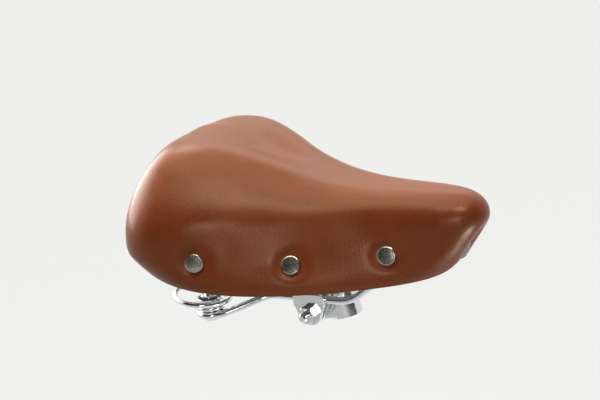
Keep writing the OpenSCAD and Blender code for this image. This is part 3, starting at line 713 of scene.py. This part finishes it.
def studPiece():
    end = []
    crest, root, half = stud["radius"], stud["radius"] - stud["depth"], stud["half"]
    y = stud["threadFrom"]
    while y < half - stud["plainEnd"]:
        end += [(crest, y), (crest, y + 0.15), (root, y + 0.6), (root, y + 0.75)]
        y += stud["pitch"]
    end += [(crest - 1.0, half - 0.7), (crest - 1.7, half), (0, half)]
    bm = bmesh.new()
    across = placing(Vector(stud["at"]) * mm, Vector((0, 1, 0)))
    spun(bm, [(r, -z) for r, z in reversed(end)] + end, across, stud["steps"])
    bmesh.ops.recalc_face_normals(bm, faces=bm.faces[:])
    return finishPiece("clampStud", bm, zinc, "clamp_head", ["clamp_stud"], 25)

studPiece()
easedCopy("postCollar", "clamp_collar", zinc, "collar", 0.3)
for side in ("right", "left"):
    easedCopy(side + "InnerPlate", side + "_inner_plate", zinc, "clamp_head", 0.5, 3)
    easedCopy(side + "OuterPlate", side + "_outer_plate", zinc, "clamp_head", 0.7, 3)
    easedCopy(side + "ClampNut", side + "_clamp_nut", zinc, "clamp_head", 0.25)
    easedCopy(side + "SpringBolt", side + "_spring_bolt", zinc, "rails", 0.4)
    easedCopy(side + "SpringCup", side + "_spring_cup", chrome, "rails", 0.4, 3)
    easedCopy(side + "SpringNut", side + "_spring_nut", zinc, "rails", 0.25)
    easedCopy(side + "SpringClips", side + "_spring_clips", zinc, "seat", 0.4)
easedCopy("clipScrews", "spring_clip_screws", zinc, "seat", 0.3)
easedCopy("rivetWashers", "rivet_washers", zinc, "seat", 0.2)
easedCopy("noseStrap", "nose_bracket", zinc, "seat", 0.4)
easedCopy("strapRivets", "bracket_rivets", zinc, "seat", 0.3)
print("hardware made")

# floor, light and camera
studio = {"floorZ": -0.55, "floorHalf": 30, "floorBase": (0.42, 0.42, 0.41, 1), "floorRough": 0.9,
          "floorGlow": 0.88, "white": (0.97, 0.97, 0.96, 1), "world": 0.15, "cardSteps": 24}

def seenDirectly(tree):
    path = addNode(tree, "ShaderNodeLightPath")
    view = addNode(tree, "ShaderNodeMath", operation="MAXIMUM")
    every = addNode(tree, "ShaderNodeMath", operation="MAXIMUM")
    tree.links.new(path.outputs["Is Camera Ray"], view.inputs[0])
    tree.links.new(path.outputs["Is Glossy Ray"], view.inputs[1])
    tree.links.new(view.outputs[0], every.inputs[0])
    tree.links.new(path.outputs["Is Transmission Ray"], every.inputs[1])
    return every.outputs[0]

def stagePiece(name, bm, finish):
    mesh = bpy.data.meshes.new(name)
    bm.to_mesh(mesh)
    bm.free()
    mesh.materials.append(finish)
    piece = bpy.data.objects.new(name, mesh)
    bpy.context.scene.collection.objects.link(piece)
    return piece

def studioFloor():
    finish, tree, shader = newFinish("paleFloor")
    shader.inputs["Base Color"].default_value = studio["floorBase"]
    shader.inputs["Roughness"].default_value = studio["floorRough"]
    shader.inputs["Specular IOR Level"].default_value = 0.0
    glow = addNode(tree, "ShaderNodeEmission", {"Color": studio["white"], "Strength": 1.0})
    share = addNode(tree, "ShaderNodeMath", {1: studio["floorGlow"]}, operation="MULTIPLY")
    tree.links.new(seenDirectly(tree), share.inputs[0])
    both = addNode(tree, "ShaderNodeMixShader")
    tree.links.new(share.outputs[0], both.inputs[0])
    tree.links.new(shader.outputs[0], both.inputs[1])
    tree.links.new(glow.outputs[0], both.inputs[2])
    tree.links.new(both.outputs[0], tree.nodes["Material Output"].inputs["Surface"])
    bm = bmesh.new()
    bmesh.ops.create_grid(bm, x_segments=1, y_segments=1, size=studio["floorHalf"])
    bmesh.ops.translate(bm, vec=(0, 0, studio["floorZ"]), verts=bm.verts[:])
    stagePiece("studioFloor", bm, finish)

def studioWorld():
    world = bpy.data.worlds.new("studioWorld")
    bpy.context.scene.world = world
    world.use_nodes = True
    tree = world.node_tree
    lit = tree.nodes["Background"]
    lit.inputs["Color"].default_value = (1, 1, 1, 1)
    lit.inputs["Strength"].default_value = studio["world"]
    seen = addNode(tree, "ShaderNodeBackground", {"Color": studio["white"], "Strength": 1.0})
    choose = addNode(tree, "ShaderNodeMixShader")
    tree.links.new(seenDirectly(tree), choose.inputs[0])
    tree.links.new(lit.outputs[0], choose.inputs[1])
    tree.links.new(seen.outputs[0], choose.inputs[2])
    tree.links.new(choose.outputs[0], tree.nodes["World Output"].inputs["Surface"])

# curved cards that only reflections meet: they give the metal dark bands and the top its sheen
def glossCard(name, profile, colour, facing, turn):
    bm = bmesh.new()
    start = math.radians(facing - turn / 2)
    line = [bm.verts.new((r * math.cos(start), r * math.sin(start), z)) for r, z in profile]
    edges = [bm.edges.new(pair) for pair in zip(line, line[1:])]
    bmesh.ops.spin(bm, geom=line + edges, cent=(0, 0, 0), axis=(0, 0, 1), angle=math.radians(turn),
                   steps=studio["cardSteps"])
    finish, tree, shader = newFinish(name)
    shader.inputs["Base Color"].default_value = (0, 0, 0, 1)
    shader.inputs["Specular IOR Level"].default_value = 0.0
    shader.inputs["Emission Color"].default_value = colour
    shader.inputs["Emission Strength"].default_value = 1.0
    card = stagePiece(name, bm, finish)
    card.visible_camera = card.visible_diffuse = False
    card.visible_shadow = card.visible_transmission = False

# some lamps add sheen alone, and some add fill alone
def softLight(name, at, size, watts, aim=(0, 0, 0.06), colour=(1, 1, 1), gloss=True, diffuse=True):
    data = bpy.data.lights.new(name, "AREA")
    data.shape = "RECTANGLE"
    data.size, data.size_y = size
    data.energy = watts
    data.color = colour
    light = bpy.data.objects.new(name, data)
    light.location = at
    light.visible_camera = False
    light.visible_diffuse = diffuse
    light.visible_glossy = gloss
    light.rotation_euler = (Vector(aim) - Vector(at)).to_track_quat("-Z", "Y").to_euler()
    bpy.context.scene.collection.objects.link(light)

studioFloor()
studioWorld()
glossCard("darkCard", [(2.3, -0.3), (2.3, 2.6)], (0.02, 0.02, 0.022, 1), -60, 150)
glossCard("lowCard", [(0.35, -0.5), (2.3, -0.5)], (0.58, 0.58, 0.57, 1), -60, 150)
glossCard("backCard", [(2.3, -0.5), (2.3, 1.1)], (1.0, 0.91, 0.78, 1), 115, 90)
glossCard("backHigh", [(2.3, 1.1), (2.0, 2.1)], (1.62, 1.64, 1.42, 1), 100, 80)
softLight("topStrip", (0.13, -0.23, 1.3), (1.5, 0.45), 4.7)
softLight("sideFill", (0, -0.7, 1.1), (1.2, 0.6), 4.5, gloss=False)
softLight("backTop", (-0.25, 0.45, 1.3), (1.9, 1.3), 9.2, colour=(1, 0.96, 0.88))
softLight("backGloss", (-0.45, 0.45, 1.32), (1.5, 1.3), 3.4, colour=(1, 0.96, 0.88),
          diffuse=False)
softLight("wingGlow", (-0.74, 0.5, 1.26), (0.35, 0.5), 2.2, diffuse=False)
softLight("rearLeft", (-1.2, 0.1, 0.48), (0.95, 0.6), 4)
softLight("rearGloss", (-1.2, 0.05, 0.5), (1.3, 0.8), 15, diffuse=False)
softLight("nearPatch", (0.61, -1.22, 0.22), (0.34, 0.26), 2.5, diffuse=False)
softLight("wingPatch", (0.17, -0.70, 1.1), (0.4, 0.2), 1.3, diffuse=False)
softLight("noseStrip", (0.72, -0.7, 1.25), (0.5, 0.3), 5.6, diffuse=False)
softLight("noseGlow", (0.51, -0.08, -0.45), (0.24, 0.24), 2.4, (0.1, 0, 0.06), diffuse=False)
softLight("noseFill", (0.51, -0.08, -0.46), (0.24, 0.24), 0.8, (0.1, 0, 0.06), gloss=False)

shot = {"azimuth": 30.2, "elevation": 20.1, "roll": -6.4, "distance": 1.1, "focalPixels": 1365,
        "origin": (343.2, 299.3), "middle": (300, 200), "width": 600, "sensor": 36}

def shotCamera():
    az, el, roll = (math.radians(shot[k]) for k in ("azimuth", "elevation", "roll"))
    back = Vector((math.sin(az) * math.cos(el), -math.cos(az) * math.cos(el), math.sin(el)))
    level = Vector((math.cos(az), math.sin(az), 0))
    up = back.cross(level)
    right = math.cos(roll) * level + math.sin(roll) * up
    rise = math.cos(roll) * up - math.sin(roll) * level
    forward = (-shot["focalPixels"] * back + (shot["middle"][0] - shot["origin"][0]) * right
               + (shot["origin"][1] - shot["middle"][1]) * rise).normalized()
    right = (right - right.dot(forward) * forward).normalized()
    rise = right.cross(forward)
    data = bpy.data.cameras.new("shotCamera")
    data.sensor_width = shot["sensor"]
    data.lens = shot["focalPixels"] / shot["width"] * shot["sensor"]
    camera = bpy.data.objects.new("shotCamera", data)
    turn = Matrix((right, rise, -forward)).transposed().to_4x4()
    camera.matrix_world = Matrix.Translation(back * shot["distance"]) @ turn
    bpy.context.scene.collection.objects.link(camera)
    bpy.context.scene.camera = camera

shotCamera()
bpy.context.scene.view_settings.view_transform = "Standard"
print("stage, light and camera set")
